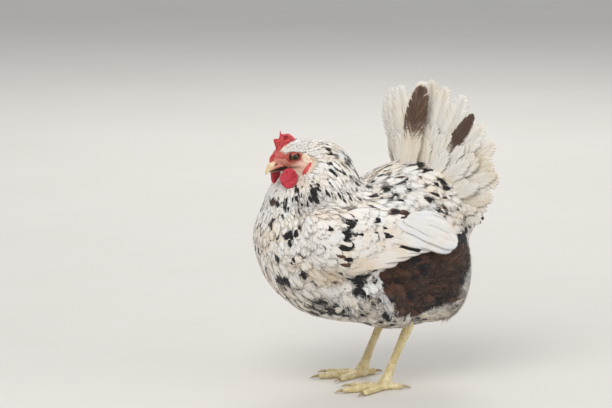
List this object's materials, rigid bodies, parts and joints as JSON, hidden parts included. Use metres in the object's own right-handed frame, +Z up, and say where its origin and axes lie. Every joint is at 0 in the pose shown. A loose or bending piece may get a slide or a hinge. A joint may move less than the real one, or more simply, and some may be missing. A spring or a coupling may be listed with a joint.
{
  "type": "standing hen",
  "caption": "Life-size hen standing still, with a short neck, a round body, folded wings, a small comb and a raised, fanned tail.",
  "frame": {"origin": "centre of the hen's bounding box, on the floor that it stands on", "axes": "+Z up, the hen faces -X, its left side is -Y"},
  "size_m": [0.2666, 0.1966, 0.3543],
  "materials": {
    "body_plumage": "soft cream-white feathers with black and brown speckles",
    "thigh_plumage": "soft chocolate-brown and speckled white feathers",
    "wing_plumage": "smooth cream-white coverts with a few dark and brown marks",
    "flight_feathers": "smooth white vanes",
    "tail_feathers": "cream vanes with frayed edges, a few chocolate brown",
    "face_skin": "bare red-pink wrinkled skin with short cream feathers on the crown",
    "comb_and_wattle_skin": "bare finely pebbled red skin",
    "ear_lobe_skin": "smooth cream skin",
    "bill_horn": "semi-gloss pale horn",
    "eye": "wet amber eye",
    "leg_scales": "pale yellow horn scales",
    "claw_horn": "semi-gloss horn"
  },
  "bodies": {
    "root": {"trunk": "body_plumage", "saddle": "body_plumage", "neck": "body_plumage", "head": "face_skin", "bill_upper": "bill_horn", "bill_lower": "bill_horn", "comb": "comb_and_wattle_skin", "eye_left": "eye", "ear_lobe_left": "ear_lobe_skin", "wattle_left": "comb_and_wattle_skin", "eye_right": "eye", "ear_lobe_right": "ear_lobe_skin", "wattle_right": "comb_and_wattle_skin", "wing_left": "wing_plumage", "wing_right": "wing_plumage", "primaries_left": "flight_feathers", "primaries_right": "flight_feathers", "tail_left": "tail_feathers", "tail_right": "tail_feathers", "thigh_left": "thigh_plumage", "thigh_right": "thigh_plumage", "shank_left": "leg_scales", "shank_right": "leg_scales", "toe_inner_left": "leg_scales", "toe_inner_right": "leg_scales", "toe_middle_left": "leg_scales", "toe_middle_right": "leg_scales", "toe_outer_left": "leg_scales", "toe_outer_right": "leg_scales", "toe_hind_left": "leg_scales", "toe_hind_right": "leg_scales", "claw_inner_left": "claw_horn", "claw_inner_right": "claw_horn", "claw_middle_left": "claw_horn", "claw_middle_right": "claw_horn", "claw_outer_left": "claw_horn", "claw_outer_right": "claw_horn", "claw_hind_left": "claw_horn", "claw_hind_right": "claw_horn"}
  },
  "joints": []
}
